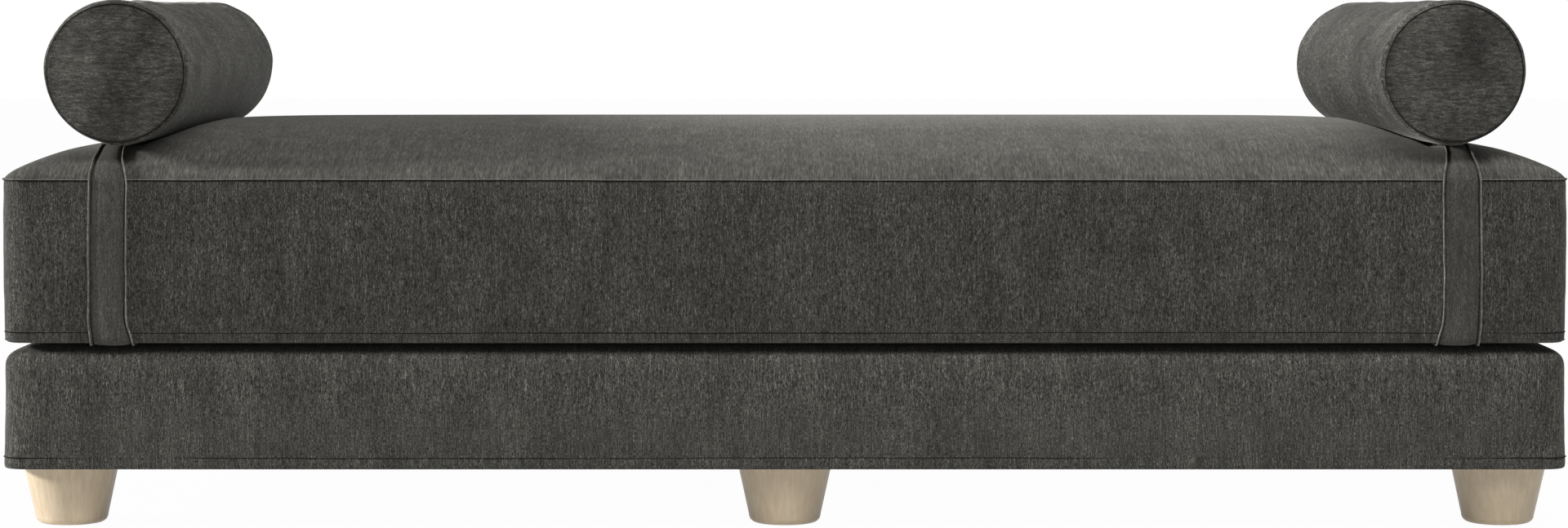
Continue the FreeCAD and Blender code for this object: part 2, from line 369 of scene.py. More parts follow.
def seat_limit(x):
    """The highest that the mattress may stand under a bolster or its strap."""
    from_axis = np.abs(x) - abs(bolster_x)
    radius = bolster_radius + contact_gap
    trough = np.where(np.abs(from_axis) < radius,
                      bolster_z - np.sqrt(np.maximum(radius ** 2 - from_axis ** 2, 0.0)), 1.0)
    seat = bolster_z - bolster_radius - strap_thickness - contact_gap
    under_strap = np.abs(x) > abs(strap_x) - strap_half_width - contact_gap
    ledge = np.where(under_strap, seat, 1.0)
    return np.minimum(trough, ledge)


def mattress_cover():
    """The whole mattress as one swollen cover, held in at its seams."""
    rows = []
    count = 15
    for step in range(1, count + 1):
        share = step / count
        height = top_seam + (bottom_seam - top_seam) * share
        rows.append((seam_draw * min(1.0, share * 3), height))
    rows.append((seam_draw, underside + edge_roll))
    for angle in (30, 60, 90):
        turn = math.radians(angle)
        inset = edge_roll * (1 - math.cos(turn))
        rows.append((seam_draw - inset, underside + edge_roll * (1 - math.sin(turn))))
    piece, rim = box_cushion("mattress_cover", panel_x, panel_y, crown_height, rows)
    points = points_of(piece)
    ring = len(rim)
    top_count = int(max(rim)) + 1
    first_row = top_count
    held = set(int(v) for v in rim)
    seam_row = first_row + (count - 1) * ring
    held.update(range(seam_row, seam_row + ring))
    held.update(np.nonzero(points[:, 2] < underside + edge_roll + 0.001)[0].tolist())
    pressed = (points[:, 2] > top_seam) & (np.abs(points[:, 0]) > abs(bolster_x) - 0.11)
    held.update(np.nonzero(pressed & (points[:, 2] > 0.95 * seat_limit(points[:, 0])))[0].tolist())
    swell(piece, sorted(held), 2.0, mattress_swell, extra_cloth=0.004)
    subdivide(piece)
    points = points_of(piece)
    on_top = points[:, 2] > top_seam
    limit = seat_limit(points[:, 0])
    points[on_top, 2] = np.minimum(points[on_top, 2], limit[on_top])
    points[:, 2] = np.maximum(points[:, 2], underside)
    points[:, 1] = np.minimum(points[:, 1], back_limit)
    put_points(piece, points)
    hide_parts("mattress_top_panel", "mattress_side_band", "mattress_bottom_panel",
                "mattress_fibre_wrap", "mattress_core_foam")
    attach(piece, "mattress")
    return piece


def base_height(x, y):
    """The base's top: a rolled rim that stays under the mattress's bottom panel."""
    share = inset_share(x, y, half_length, half_depth, base_roll_width, base_roll_width)
    inset = share * base_roll_width
    across = np.clip(1 - share, 0.0, 1.0)
    roll = base_roll_height * np.sqrt(1 - across ** 2)
    rise = base_middle_rise * np.clip((inset - 0.18) / 0.14, 0.0, 1.0)
    return base_roll_start + roll + rise


def base_cover():
    """Cover, wrap, foam and lower band of the base as one form."""
    rows = []
    count = 10
    for step in range(1, count + 1):
        share = step / count
        rows.append((base_flare * share, base_roll_start + (base_seam - base_roll_start) * share))
    lower_edge = ((0.0006, 0.0045), (0.0002, 0.0), (-0.0006, -0.0022), (-0.003, -0.0032), (-0.008, -0.0024),
                  (-0.012, 0.0))
    for offset, height in lower_edge:
        rows.append((base_flare + offset, base_bottom + height))
    piece, rim = box_cushion("base_upholstery", half_length, half_depth, base_height, rows)
    points = points_of(piece)
    ring = len(rim)
    top_count = int(max(rim)) + 1
    seam_row = top_count + (count - 1) * ring
    held = set(range(seam_row, seam_row + ring))
    held.update(np.nonzero(points[:, 2] < base_seam - 0.002)[0].tolist())
    inside = (np.abs(points[:, 0]) < half_length - 0.06) & (np.abs(points[:, 1]) < half_depth - 0.06)
    held.update(np.nonzero(inside & (points[:, 2] > 0.23))[0].tolist())
    swell(piece, sorted(held), 1.5, base_swell, extra_cloth=0.003)
    subdivide(piece)
    points = points_of(piece)
    points[:, 2] = np.minimum(points[:, 2], base_top)
    points[:, 1] = np.minimum(points[:, 1], back_limit)
    put_points(piece, points)
    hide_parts("base_cover", "base_bottom_band", "base_fibre_wrap", "base_foam")
    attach(piece, "base")
    return piece


def wander(t, size, seed):
    """A slow, even-tempered waver along a loop; t runs from 0 to 1."""
    total = np.zeros_like(t)
    for order, share in ((3, 0.5), (7, 0.35), (17, 0.25), (31, 0.2), (53, 0.12)):
        total += share * np.sin(2 * math.pi * (order * t + 0.37 * order * seed))
    return size * total


def plan_loop(half_x, half_y, count):
    """Evenly spaced points and outward directions round the rounded plan."""
    straight_x = 2 * (half_x - corner_radius)
    straight_y = 2 * (half_y - corner_radius)
    arc = corner_radius * math.pi / 2
    total = 2 * (straight_x + straight_y) + 4 * arc
    points = []
    for k in range(count):
        points.append(plan_point(total * k / count, straight_x, straight_y, arc, half_x, half_y))
    data = np.array(points)
    return data[:, :2], data[:, 2:]


def plan_point(s, straight_x, straight_y, arc, half_x, half_y):
    """The point and outward direction at distance s round the plan, from the front left."""
    sides = ((straight_x, -90), (straight_y, 0), (straight_x, 90), (straight_y, 180))
    for length, facing in sides:
        turn = math.radians(facing)
        out = (math.cos(turn), math.sin(turn))
        ahead = (-out[1], out[0])
        reach = half_x if facing in (0, 180) else half_y
        half = length / 2
        if s <= length:
            along = s - half
            return (out[0] * reach + ahead[0] * along, out[1] * reach + ahead[1] * along, *out)
        s -= length
        if s <= arc:
            angle = turn + s / corner_radius
            cx = out[0] * (reach - corner_radius) + ahead[0] * half
            cy = out[1] * (reach - corner_radius) + ahead[1] * half
            nx, ny = math.cos(angle), math.sin(angle)
            return (cx + nx * corner_radius, cy + ny * corner_radius, nx, ny)
        s -= arc
    return (-straight_x / 2, -half_y, 0.0, -1.0)


def sweep_loop(name, centres, outs, ups, section):
    """A closed tube along a closed line; section gives its outline as out and up offsets."""
    count = len(centres)
    sides = len(section)
    points = []
    for out_offset, up_offset in section:
        points.append(centres + outs * out_offset + ups * up_offset)
    grid = np.stack(points, axis=1)
    faces = []
    for k in range(count):
        n = (k + 1) % count
        for m in range(sides):
            p = (m + 1) % sides
            faces.append((k * sides + m, n * sides + m, n * sides + p, k * sides + p))
    return make_mesh(name, grid.reshape(-1, 3), faces)


def oval(half_out, half_up, count=8):
    turns = [2 * math.pi * k / count for k in range(count)]
    return [(half_out * math.cos(t), half_up * math.sin(t)) for t in turns]


def plan_seam(name, plan, height, out, section, body, seed):
    """A seam's lip or stitch line round a plan, given as its half sizes; it wavers a little."""
    count = 1400
    flat, normals = plan_loop(*plan, count)
    t = np.arange(count) / count
    z = height + wander(t, seam_waver, seed)
    push = out + wander(t, seam_waver * 0.4, seed + 3)
    y = np.minimum(flat[:, 1] + normals[:, 1] * push, back_limit)
    centres = np.stack([flat[:, 0] + normals[:, 0] * push, y, z], axis=-1)
    outs = np.stack([normals[:, 0], normals[:, 1], np.zeros(count)], axis=-1)
    ups = np.tile(np.array([0.0, 0.0, 1.0]), (count, 1))
    piece = sweep_loop(name, centres, outs, ups, oval(*section))
    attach(piece, body)
    return piece


def strap_path():
    """The loop's middle line in the Y-Z plane, from the underside's middle round by the front."""
    y = half_depth + strap_gap
    rise = crown_top - top_seam + strap_gap
    seat = bolster_z - bolster_radius - strap_thickness
    bottom = underside - strap_gap
    radius = strap_turn_radius
    path = [(-y * share, bottom) for share in np.linspace(0.0, 0.975, 40)]
    for angle in np.linspace(0, 90, 7)[1:]:
        turn = math.radians(angle)
        path.append((-y + radius - radius * math.sin(turn), bottom + radius - radius * math.cos(turn)))
    path += [(-y, z) for z in np.linspace(bottom + radius, top_seam, 26)[1:]]
    full = (seat - top_seam) / rise
    top_share = 1 - (1 - full ** (1 / crown_steepness)) ** (1 / crown_fullness)
    for step in np.linspace(0.0, 1.0, 20)[1:]:
        share = top_share * step * step
        path.append((-y + (crown_reach_y + seam_draw) * share, top_seam + rise * float(crown_share(share))))
    edge = -path[-1][0]
    path += [(-edge * share, seat) for share in np.linspace(1.0, 0.0, 40)[1:]]
    half = path[:-1]
    mirrored = [(-py, pz) for py, pz in reversed(path[1:-1])]
    return np.array(half + [path[-1]] + mirrored)


def even_loop(path, step):
    """The closed path again, in equal steps."""
    closed = np.vstack([path, path[:1]])
    lengths = np.hypot(*np.diff(closed, axis=0).T)
    along = np.concatenate([[0.0], np.cumsum(lengths)])
    count = int(along[-1] / step)
    places = np.arange(count) * along[-1] / count
    return np.stack([np.interp(places, along, closed[:, k]) for k in (0, 1)], axis=-1)


def strap_section(half_width):
    """Across the strap: a raised flange along each edge, a crease inside it, and a padded middle."""
    edge = [
        (-half_width, 0.0006),
        (-half_width - 0.0003, 0.0030),
        (-half_width + 0.0006, 0.0044),
        (-half_width + 0.0015, 0.0034),
        (-half_width + 0.0021, 0.0008),
        (-half_width + 0.0031, 0.0008),
    ]
    pad = half_width - 0.0036
    middle = []
    for step in range(11):
        across = -pad + 2 * pad * step / 10
        middle.append((across, 0.0016 + strap_bulge * (1 - (across / (pad + 0.0005)) ** 2) ** 0.6))
    mirrored = [(-across, up) for across, up in reversed(edge)]
    under = [(half_width - 0.002, 0.0), (0.0, 0.0), (-half_width + 0.002, 0.0)]
    return edge + middle + mirrored + under


def strap(name, side, body):
    """One strap, with a narrower top where the bolster draws it in, and a flared foot."""
    path = even_loop(strap_path(), strap_step)
    count = len(path)
    ahead = np.roll(path, -1, axis=0) - np.roll(path, 1, axis=0)
    ahead /= np.linalg.norm(ahead, axis=1, keepdims=True)
    normal = np.stack([ahead[:, 1], -ahead[:, 0]], axis=-1)
    outward = ((path - [0.0, 0.36]) * normal).sum(axis=1, keepdims=True)
    normal = np.where(outward < 0, -normal, normal)
    t = np.arange(count) / count
    section = strap_section(strap_half_width)
    points = []
    eased = np.clip((path[:, 1] - top_seam + 0.004) / 0.042, 0.0, 1.0)
    drawn_in = strap_draw * eased * eased * (3 - 2 * eased)
    foot = np.exp(-((path[:, 1] - underside) / strap_foot_height) ** 2)
    foot *= np.clip((np.abs(path[:, 0]) - 0.30) / 0.07, 0.0, 1.0)
    outside = np.maximum(np.abs(path[:, 0]) - half_depth + 0.012, 0.0) / 0.012
    lean = strap_lean * np.clip((top_seam - path[:, 1]) / (top_seam - underside), 0.0, 1.0)
    seat = bolster_z - bolster_radius - strap_thickness
    hidden = (path[:, 1] < underside + 0.001) | (path[:, 1] > seat - 0.0005)
    press = np.where(hidden, 0.62 + 0.38 * np.clip(outside, 0.0, 1.0), 1.0)

    def across_at(across):
        share = across / strap_half_width
        inner = (1 - side * share) / 2
        shift = side * (drawn_in * inner + lean - foot * (strap_foot_outer + strap_foot_flare * inner))
        shift = shift + wander(t, 0.0009, 1.0 + 0.3 * side) + wander(t, 0.0005, 2.0 + share)
        return side * abs(strap_x) + across + shift

    def placed(across, up):
        lift = up * press
        y = path[:, 0] + normal[:, 0] * lift
        z = path[:, 1] + normal[:, 1] * lift
        return np.stack([across_at(across), y, z], axis=-1)

    for across, up in section:
        points.append(placed(across, up))
    grid = np.stack(points, axis=1)
    sides = len(section)
    faces = []
    for k in range(count):
        n = (k + 1) % count
        for m in range(sides):
            p = (m + 1) % sides
            faces.append((k * sides + m, k * sides + p, n * sides + p, n * sides + m))
    points = grid.reshape(-1, 3)
    piece = make_mesh(name, points, faces)
    subdivide(piece)
    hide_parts(name.replace("_webbing", ""))
    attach(piece, body)
    for edge in (-1, 1):
        centres = placed(edge * (strap_half_width - 0.0026), 0.0014)
        outs = np.tile(np.array([1.0, 0.0, 0.0]), (count, 1))
        ups = np.stack([np.zeros(count), normal[:, 0], normal[:, 1]], axis=-1)
        word = "outer" if edge == side else "inner"
        stitch = sweep_loop(name + "_" + word + "_stitch", centres, outs, ups, oval(0.0005, 0.0005, 6))
        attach(stitch, body)
        stitches.append(stitch)
        lip = sweep_loop(name + "_" + word + "_lip", placed(edge * strap_half_width, 0.0034), outs, ups,
                         oval(0.0010, 0.0013))
        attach(lip, body)
        lips.append(lip)
    return piece


def bolster_profile():
    """Half the outline, from the middle of one end to the middle of the tube: distance and radius."""
    seam = -bolster_seam_y
    line = []
    for share in (0.0, 0.1, 0.2, 0.3, 0.4, 0.5, 0.6, 0.7, 0.79, 0.87, 0.93, 0.97, 1.0):
        radius = bolster_seam_radius * share
        line.append((seam + bolster_dome * (1 - share ** 2.7), radius))
    seam_index = len(line) - 1
    extra = bolster_radius - bolster_seam_radius
    for angle in (20, 40, 60, 80, 90):
        turn = math.radians(angle)
        place = seam - bolster_shoulder * (1 - math.cos(turn))
        line.append((place, bolster_seam_radius + extra * math.sin(turn)))
    count = 42
    start = seam - bolster_shoulder
    line += [(start - start * step / count, bolster_radius) for step in range(1, count + 1)]
    return line, seam_index


def bolster(name, side, body):
    """A swollen bolster: a tube and two domed ends, drawn in at the seams and flat where it rests."""
    line, seam_index = bolster_profile()
    profile = [(-a, r) for a, r in line] + [(a, r) for a, r in reversed(line[:-1])]
    around = 84
    points = []
    rings = []
    for place, radius in profile:
        if radius < 1e-6:
            rings.append([len(points)])
            points.append((0.0, place, 0.0))
            continue
        ring = []
        for k in range(around):
            turn = 2 * math.pi * k / around
            ring.append(len(points))
            points.append((radius * math.sin(turn), place, radius * math.cos(turn)))
        rings.append(ring)
    faces = []
    for first, second in zip(rings, rings[1:]):
        for k in range(around):
            n = (k + 1) % around
            if len(first) == 1:
                faces.append((first[0], second[k], second[n]))
            elif len(second) == 1:
                faces.append((first[k], second[0], first[n]))
            else:
                faces.append((first[k], second[k], second[n], first[n]))
    points = np.array(points) + [side * abs(bolster_x), 0.0, bolster_z]
    points[:, 0] -= side * bolster_turn * (0.5 + points[:, 1] / (2 * half_depth))
    piece = make_mesh(name, points, faces)
    held = rings[seam_index] + rings[-1 - seam_index]
    low = np.nonzero(points[:, 2] < bolster_z - bolster_radius * 0.985)[0].tolist()
    swell(piece, sorted(set(held) | set(low)), 3.0, bolster_swell, extra_cloth=0.006)
    subdivide(piece)
    points = points_of(piece)
    points[:, 2] = np.maximum(points[:, 2], bolster_rest)
    put_points(piece, points)
    stem = name.replace("_cover", "")
    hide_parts(*[stem + "_" + word for word in ("filling", "tube", "front_disc", "back_disc")])
    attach(piece, body)
    for word, end in (("front", -1), ("back", 1)):
        count = 220
        t = np.arange(count) / count
        turn = 2 * math.pi * t
        radius = bolster_seam_radius + 0.0006 + wander(t, 0.0004, side + end)
        outs = np.stack([np.sin(turn), np.zeros(count), np.cos(turn)], axis=-1)
        shift = side * bolster_turn * (0.5 + end * -bolster_seam_y / (2 * half_depth))
        centre = np.array([side * abs(bolster_x) - shift, end * (-bolster_seam_y + 0.0008), bolster_z])
        ups = np.tile(np.array([0.0, float(end), 0.0]), (count, 1))
        centres = centre + outs * radius[:, None]
        seam = sweep_loop(stem + "_" + word + "_seam", centres, outs, ups, oval(0.0006, 0.0006))
        seam_points = points_of(seam)
        seam_points[:, 2] = np.maximum(seam_points[:, 2], bolster_rest)
        put_points(seam, seam_points)
        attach(seam, body)
        stitches.append(seam)
    return piece


def thin_sheet(name, first, second):
    """A closed thin sheet between two matching grids of points; first faces down or back."""
    count_x, count_y = first.shape[:2]
    index = np.arange(count_x * count_y).reshape(count_x, count_y)
    shift = index.size
    faces = []
    for i in range(count_x - 1):
        for j in range(count_y - 1):
            quad = (index[i, j], index[i + 1, j], index[i + 1, j + 1], index[i, j + 1])
            faces.append(tuple(int(v) for v in reversed(quad)))
            faces.append(tuple(int(v) + shift for v in quad))
    loop = [int(index[i, j]) for i, j in border(count_x, count_y)]
    for a, b in zip(loop, loop[1:] + loop[:1]):
        faces.append((a, b, b + shift, a + shift))
    return make_mesh(name, np.concatenate([first.reshape(-1, 3), second.reshape(-1, 3)]), faces)


def dust_cover():
    """A thin black cloth stapled under the base, tight with a slight sag."""
    low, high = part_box("dust_cover")
    x, y = np.meshgrid(np.linspace(low.x, high.x, 81), np.linspace(low.y, high.y, 33), indexing="ij")
    ripple = 0.00012 * np.sin(x * 61) * np.cos(y * 43)
    lower = np.stack([x, y, low.z + 0.0002 + ripple], axis=-1)
    piece = thin_sheet("dust_cover_cloth", lower, lower + [0.0, 0.0, 0.0006])
    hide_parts("dust_cover")
    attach(piece, "base")
    return piece


def hinge_cloth():
    """The sewn fabric hinge: one strip down the back, stitched to the base and the mattress."""
    low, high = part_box("hinge_flap_base")
    upper_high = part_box("hinge_flap_mattress")[1]
    heights = np.concatenate([np.linspace(low.z, high.z - 0.006, 12),
                              np.linspace(high.z - 0.005, high.z + 0.005, 9),
                              np.linspace(high.z + 0.006, upper_high.z, 12)])
    x, z = np.meshgrid(np.linspace(low.x, high.x, 132), heights, indexing="ij")
    ripple = 0.0002 * np.sin(x * 47) * np.sin((z - low.z) * 55)
    outer = np.stack([x, low.y + 0.0018 + ripple, z], axis=-1)
    piece = thin_sheet("hinge_cloth", outer, outer - [0.0, 0.0014, 0.0])
    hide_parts("hinge_flap_base", "hinge_flap_mattress")
    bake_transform(piece)
    return piece


# materials, all procedural and on object coordinates

def new_material(name):
    material = bpy.data.materials.new(name)
    material.use_nodes = True
    tree = material.node_tree
    return material, tree, tree.nodes["Principled BSDF"]


def node(tree, kind, **values):
    made = tree.nodes.new(kind)
    for key, value in values.items():
        setattr(made, key, value)
    return made


def noise(tree, scale_xyz, detail=3.0, roughness=0.6, size=1.0):
    """Noise on object coordinates, stretched by a scale for each axis."""
    place = node(tree, "ShaderNodeTexCoord")
    mapping = node(tree, "ShaderNodeMapping")
    mapping.inputs["Scale"].default_value = scale_xyz
    texture = node(tree, "ShaderNodeTexNoise")
    texture.inputs["Scale"].default_value = size
    texture.inputs["Detail"].default_value = detail
    texture.inputs["Roughness"].default_value = roughness
    tree.links.new(place.outputs["Object"], mapping.inputs["Vector"])
    tree.links.new(mapping.outputs["Vector"], texture.inputs["Vector"])
    return texture.outputs["Fac"]


def ramp(tree, value, stops):
    made = node(tree, "ShaderNodeValToRGB")
    elements = made.color_ramp.elements
    while len(elements) < len(stops):
        elements.new(0.5)
    for element, (position, colour) in zip(elements, stops):
        element.position = position
        element.color = (*colour, 1.0)
    tree.links.new(value, made.inputs["Fac"])
    return made.outputs["Color"]


def mix(tree, factor, first, second, kind="MIX"):
    made = node(tree, "ShaderNodeMix", data_type="RGBA", blend_type=kind)
    if isinstance(factor, float):
        made.inputs["Factor"].default_value = factor
    else:
        tree.links.new(factor, made.inputs["Factor"])
    tree.links.new(first, made.inputs["A"])
    tree.links.new(second, made.inputs["B"])
    return made.outputs["Result"]


def facing(tree, axis, low, high):
    """From 0 to 1 as a surface turns to face along an axis."""
    place = node(tree, "ShaderNodeTexCoord")
    parts = node(tree, "ShaderNodeSeparateXYZ")
    size = node(tree, "ShaderNodeMath", operation="ABSOLUTE")
    limits = node(tree, "ShaderNodeMapRange")
    limits.inputs["From Min"].default_value = low
    limits.inputs["From Max"].default_value = high
    tree.links.new(place.outputs["Normal"], parts.inputs["Vector"])
    tree.links.new(parts.outputs[axis], size.inputs[0])
    tree.links.new(size.outputs["Value"], limits.inputs["Value"])
    return limits.outputs["Result"]


def bump(tree, shader, value, strength, distance):
    made = node(tree, "ShaderNodeBump")
    made.inputs["Strength"].default_value = strength
    made.inputs["Distance"].default_value = distance
    tree.links.new(value, made.inputs["Height"])
    tree.links.new(made.outputs["Normal"], shader.inputs["Normal"])


def scaled(colour, amount):
    return tuple(amount * part for part in colour)


def two_way(tree, ends, side_scale, end_scale, detail=3.0):
    """Stretched noise that runs one way on most faces and another way on the end faces."""
    return mix(tree, ends, noise(tree, side_scale, detail), noise(tree, end_scale, detail))


def grey(value):
    return (value, value, value)


def calmed(tree, grain, where, amount):
    """Fades a grain towards no change in the places that are given, by an amount from 0 to 1."""
    calm = node(tree, "ShaderNodeMath", operation="MULTIPLY")
    calm.inputs[1].default_value = amount
    tree.links.new(where, calm.inputs[0])
    flat = ramp(tree, calm.outputs["Value"], ((0.0, grey(1.0)), (1.0, grey(1.0))))
    return mix(tree, calm.outputs["Value"], grain, flat)


def pile_cloth(name, end_axis, broad, fine, combing, painted_light_tone=1.0, contrast=1.0, painted_top_light=1.0, top_calm=0.0,
               end_calm=0.0, patch_scale=(24.0, 24.0, 10.0), patch_depth=0.16):
    """Heathered chenille: short slubs, light and dark flecks, combed streaks and soft patches.

    broad, fine and combing are pairs of noise scales: for most faces, and for the faces along end_axis.
    """
    material, tree, shader = new_material(name)
    ends = facing(tree, end_axis, 0.62, 0.78)
    streak = two_way(tree, ends, *broad)
    fleck = two_way(tree, ends, *fine, 2.0)
    # the tone factor scales the whole cloth colour as painted light, so one fabric is given lit copies
    base = scaled(cloth_base, painted_light_tone)
    colour = ramp(tree, streak, ((0.36, scaled(base, 1 - 0.45 * contrast)), (0.46, scaled(base, 0.90)),
                                 (0.55, scaled(base, 1.08)), (0.66, scaled(base, 1 + 0.65 * contrast))))
    grain = ramp(tree, fleck, ((0.35, grey(1 - 0.85 * contrast)), (0.45, grey(0.92)), (0.57, grey(1.12)),
                               (0.67, grey(1 + 1.45 * contrast))))
    if end_calm:
        grain = calmed(tree, grain, ends, end_calm)
    if top_calm:
        top = facing(tree, "Z", 0.45, 0.85)
        grain = calmed(tree, grain, top, top_calm)
        # painted light: faces turned up are made lighter by the top factor, standing in for light from above
        painted_top_lift = ramp(tree, top, ((0.0, grey(1.0)), (1.0, grey(painted_top_light))))
        colour = mix(tree, 1.0, colour, painted_top_lift, "MULTIPLY")
    colour = mix(tree, 1.0, colour, grain, "MULTIPLY")
    streaks = ramp(tree, two_way(tree, ends, *combing, 1.0), ((0.35, grey(0.88)), (0.65, grey(1.12))))
    colour = mix(tree, 1.0, colour, streaks, "MULTIPLY")
    patches = noise(tree, patch_scale, detail=3.0)
    shade = ramp(tree, patches, ((0.34, grey(1 - patch_depth)), (0.66, grey(1 + patch_depth))))
    colour = mix(tree, 1.0, colour, shade, "MULTIPLY")
    tree.links.new(colour, shader.inputs["Base Color"])
    shader.inputs["Roughness"].default_value = 0.9
    shader.inputs["Specular IOR Level"].default_value = 0.2
    shader.inputs["Sheen Weight"].default_value = 0.14
    shader.inputs["Sheen Roughness"].default_value = 0.35
    shader.inputs["Sheen Tint"].default_value = (0.97, 0.96, 0.90, 1.0)
    bump(tree, shader, streak, 0.5, 0.0008)
    return material


def thread():
    # the stitches carry their own dark colour together with painted shade of the grooves they lie in
    material, tree, shader = new_material("stitch_thread")
    twist = noise(tree, (500.0, 500.0, 500.0), detail=2.0)
    light = tuple(3 * c for c in thread_and_painted_groove_shade)
    tree.links.new(ramp(tree, twist, ((0.4, thread_and_painted_groove_shade), (0.7, light))), shader.inputs["Base Color"])
    shader.inputs["Roughness"].default_value = 0.95
    shader.inputs["Specular IOR Level"].default_value = 0.1
    bump(tree, shader, twist, 0.4, 0.0005)
    return material


def pale_wood(name, light, dark, stretch, roughness):
    """Washed wood with fine straight grain."""
    material, tree, shader = new_material(name)
    grain = noise(tree, stretch, detail=5.0, roughness=0.65)
    middle = tuple((a + b) / 2 for a, b in zip(light, dark))
    colour = ramp(tree, grain, ((0.32, dark), (0.5, middle), (0.64, light)))
    clouds = noise(tree, (14.0, 14.0, 8.0), detail=2.0)
    shade = ramp(tree, clouds, ((0.3, (0.90, 0.90, 0.90)), (0.7, (1.06, 1.06, 1.06))))
    tree.links.new(mix(tree, 1.0, colour, shade, "MULTIPLY"), shader.inputs["Base Color"])
    shader.inputs["Roughness"].default_value = roughness
    shader.inputs["Coat Weight"].default_value = 0.12
    shader.inputs["Coat Roughness"].default_value = 0.35
    bump(tree, shader, grain, 0.12, 0.0006)
    return material


def plain_mottled(name, first, second, scale, roughness, metallic=0.0):
    material, tree, shader = new_material(name)
    value = noise(tree, (scale, scale, scale), detail=4.0)
    tree.links.new(ramp(tree, value, ((0.35, first), (0.65, second))), shader.inputs["Base Color"])
    shader.inputs["Roughness"].default_value = roughness
    shader.inputs["Metallic"].default_value = metallic
    bump(tree, shader, value, 0.2, 0.0005)
    return material


def dress(piece, material):
    piece.data.materials.clear()
    piece.data.materials.append(material)


def dress_nodes(names, material):
    for name in names:
        slots = frame["nodes"][name].material_slots
        for item in slots:
            item.material = material


def camera():
    data = bpy.data.cameras.new("camera")
    data.sensor_width = sensor_width
    data.lens = focal_pixels * sensor_width / photo_width
    data.clip_end = 60.0
    made = bpy.data.objects.new("camera", data)
    made.location = (camera_x, -half_depth - camera_in_front, camera_height)
    made.rotation_euler = (math.radians(90) - camera_pitch, 0.0, 0.0)
    bpy.context.scene.collection.objects.link(made)
    bpy.context.scene.camera = made


def area_light(name, place, target, size_x, size_y, power, colour=(1.0, 1.0, 1.0)):
    data = bpy.data.lights.new(name, "AREA")
    data.shape = "RECTANGLE"
    data.size = size_x
    data.size_y = size_y
    data.energy = power
    data.color = colour
    made = bpy.data.objects.new(name, data)
    made.location = place
    made.rotation_euler = (Vector(target) - Vector(place)).to_track_quat("-Z", "Y").to_euler()
    bpy.context.scene.collection.objects.link(made)


def white_where_seen(tree, shader_output, share):
    """Shows a surface as white where the camera or a mirror-like surface sees it directly."""
    path = node(tree, "ShaderNodeLightPath")
    either = node(tree, "ShaderNodeMath", operation="ADD", use_clamp=True)
    seen = node(tree, "ShaderNodeMath", operation="ADD", use_clamp=True)
    tree.links.new(path.outputs["Is Camera Ray"], either.inputs[0])
    tree.links.new(path.outputs["Is Glossy Ray"], either.inputs[1])
    tree.links.new(either.outputs["Value"], seen.inputs[0])
    tree.links.new(path.outputs["Is Transmission Ray"], seen.inputs[1])
    part = node(tree, "ShaderNodeMath", operation="MULTIPLY")
    part.inputs[1].default_value = share
    tree.links.new(seen.outputs["Value"], part.inputs[0])
    glow = node(tree, "ShaderNodeEmission")
    glow.inputs["Color"].default_value = (1.0, 1.0, 1.0, 1.0)
    both = node(tree, "ShaderNodeMixShader")
    tree.links.new(part.outputs["Value"], both.inputs["Fac"])
    tree.links.new(shader_output, both.inputs[1])
    tree.links.new(glow.outputs["Emission"], both.inputs[2])
    return both.outputs["Shader"]


def floor():
    mesh = bpy.data.meshes.new("floor")
    reach = 25.0
    corners = [(-reach, -reach, 0.0), (reach, -reach, 0.0), (reach, reach, 0.0), (-reach, reach, 0.0)]
    mesh.from_pydata(corners, [], [(0, 1, 2, 3)])
    made = bpy.data.objects.new("floor", mesh)
    bpy.context.scene.collection.objects.link(made)
    material, tree, shader = new_material("floor_paint")
    shader.inputs["Base Color"].default_value = (0.80, 0.80, 0.79, 1.0)
    shader.inputs["Roughness"].default_value = 0.9
    shader.inputs["Specular IOR Level"].default_value = 0.1
    output = tree.nodes["Material Output"]
    tree.links.new(white_where_seen(tree, shader.outputs["BSDF"], 0.98), output.inputs["Surface"])
    mesh.materials.append(material)


def world():
    made = bpy.data.worlds.new("studio")
    bpy.context.scene.world = made
    made.use_nodes = True
    tree = made.node_tree
    tree.nodes.clear()
    soft = node(tree, "ShaderNodeBackground")
    soft.inputs["Color"].default_value = (0.95, 0.97, 1.0, 1.0)
    soft.inputs["Strength"].default_value = 0.06
    output = node(tree, "ShaderNodeOutputWorld")
    tree.links.new(white_where_seen(tree, soft.outputs["Background"], 1.0), output.inputs["Surface"])


def lights():
    """A low key from far on the left, and soft light from above the front."""
    area_light("key", (-9.0, -0.9, 2.75), (0.0, 0.0, 0.4), 1.1, 1.1, 980.0, (1.0, 0.99, 0.97))
    area_light("soft_front", (1.1, -2.0, 3.5), (0.3, 0.0, 0.4), 4.5, 1.5, 134.0)
    area_light("low_front", (0.6, -6.0, 0.5), (0.3, 0.0, 0.25), 6.0, 0.8, 4.0)


# the scene; straps and bolsters add their own stitches and lips to these lists
stitches = []
lips = []
camera()
lights()
world()
floor()
bpy.context.scene.view_settings.view_transform = "Standard"

mattress = mattress_cover()
base = base_cover()
straps = [strap("left_bolster_strap_webbing", -1, "left_bolster"),
          strap("right_bolster_strap_webbing", 1, "right_bolster")]
bolsters = [bolster("left_bolster_cover", -1, "left_bolster"),
            bolster("right_bolster_cover", 1, "right_bolster")]
panel_plan = (panel_x, panel_y)
side_plan = (half_length, half_depth)
base_plan = (half_length + base_flare, half_depth + base_flare)
round_stitch = (0.0007, 0.0007)
top_lip = plan_seam("mattress_top_seam_lip", panel_plan, top_seam + 0.0007, 0.0006, (0.0008, 0.0008),
                    "mattress", 1)
edge_lip = plan_seam("mattress_edge_lip", side_plan, underside + 0.0034, -0.0010, (0.0009, 0.0009),
                     "mattress", 2)
top_stitch = plan_seam("mattress_top_seam_stitch", panel_plan, top_seam - 0.0007, 0.0003, (0.0006, 0.0006),
                       "mattress", 1)
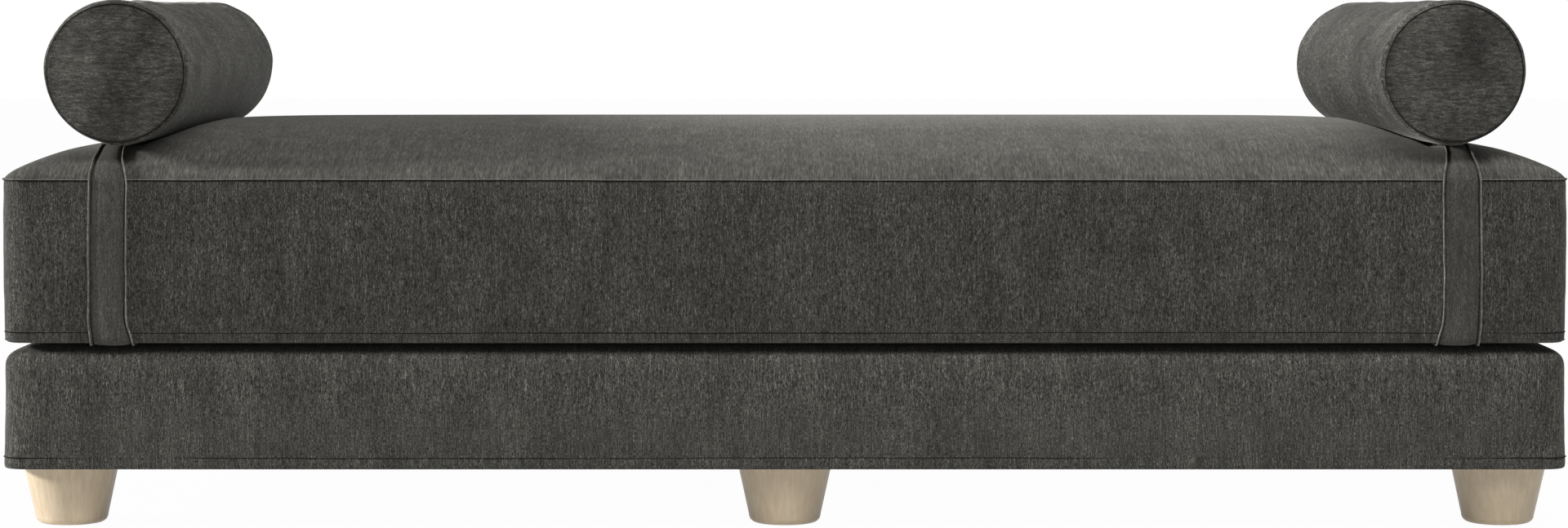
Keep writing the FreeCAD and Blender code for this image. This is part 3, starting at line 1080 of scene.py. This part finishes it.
bottom_stitch = plan_seam("mattress_bottom_seam_stitch", side_plan, bottom_seam, -0.0002, round_stitch,
                          "mattress", 4)
base_stitch = plan_seam("base_seam_stitch", base_plan, base_seam, -0.0002, round_stitch, "base", 5)
lips.append(top_lip)
stitches += [top_stitch, bottom_stitch, base_stitch]
dust = dust_cover()
hinge = hinge_cloth()
strap_trim = [piece for piece in lips + stitches if "strap" in piece.name]
folding = [mattress, top_lip, edge_lip, top_stitch, bottom_stitch] + straps + strap_trim
for piece in folding:
    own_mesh(piece)

panel_broad = ((520.0, 62.0, 62.0), (62.0, 520.0, 62.0))
panel_fine = ((900.0, 300.0, 300.0), (300.0, 900.0, 300.0))
panel_combing = ((234.0, 9.0, 9.0), (9.0, 234.0, 9.0))
bolster_broad = ((190.0, 50.0, 190.0), (90.0, 90.0, 330.0))
bolster_fine = ((520.0, 130.0, 520.0), (330.0, 330.0, 800.0))
bolster_combing = ((9.0, 9.0, 9.0), (9.0, 9.0, 148.5))
panel = ("X", panel_broad, panel_fine, panel_combing)
# painted light: the mattress cloth is made 1.55 times lighter on its up-facing faces
mattress_cloth = pile_cloth("mattress_cloth", *panel, painted_top_light=1.55, top_calm=0.75)
# painted light: the base, the straps and the bolsters are the mattress's cloth made lighter to stand in for
# the light they get
base_cloth = pile_cloth("base_cloth", *panel, painted_light_tone=1.30)
strap_cloth = pile_cloth("strap_cloth", *panel, painted_light_tone=1.22, contrast=0.45)
bolster_cloth = pile_cloth("bolster_cloth", "Y", bolster_broad, bolster_fine, bolster_combing, painted_light_tone=1.04,
                           end_calm=0.45, patch_scale=(12.0, 12.0, 12.0), patch_depth=0.42)
# painted highlight: the seam lips are the same cloth made three times lighter
painted_highlight_lip_cloth = pile_cloth("seam_lip_cloth", *panel, painted_light_tone=3.0, contrast=0.6)
for piece in [mattress, edge_lip]:
    dress(piece, mattress_cloth)
for piece in lips:
    dress(piece, painted_highlight_lip_cloth)
for piece in [base, hinge]:
    dress(piece, base_cloth)
for piece in straps:
    dress(piece, strap_cloth)
for piece in bolsters:
    dress(piece, bolster_cloth)
# partly painted shade: the near-black thread also darkens the seam grooves and strap creases
thread_and_painted_groove_shade_material = thread()
for piece in stitches:
    dress(piece, thread_and_painted_groove_shade_material)
dress(dust, plain_mottled("dust_cloth", (0.012, 0.012, 0.012), (0.03, 0.03, 0.03), 260.0, 0.95))

legs = [name for name in frame["nodes"] if name.startswith("leg_front") or name.startswith("leg_back")]
dress_nodes(legs, pale_wood("washed_wood", leg_pale, leg_grain, (170.0, 170.0, 16.0), 0.45))
timber = ["base_front_rail", "base_back_rail", "base_left_rail", "base_right_rail", "base_cross_rails",
          "base_corner_blocks", "leg_mounting_plates"]
dress_nodes(timber, pale_wood("frame_softwood", timber_pale, timber_grain, (12.0, 120.0, 120.0), 0.6))
dress_nodes(["base_deck"], pale_wood("deck_plywood", plywood_pale, plywood_grain, (9.0, 70.0, 300.0), 0.6))
dress_nodes(["frame_screws", "tee_nuts", "leg_hanger_bolts"],
            plain_mottled("zinc_steel", (0.45, 0.45, 0.47), (0.62, 0.62, 0.63), 300.0, 0.4, 1.0))
dress_nodes(["leg_glides"], plain_mottled("felt", (0.12, 0.10, 0.08), (0.22, 0.19, 0.16), 400.0, 0.95))
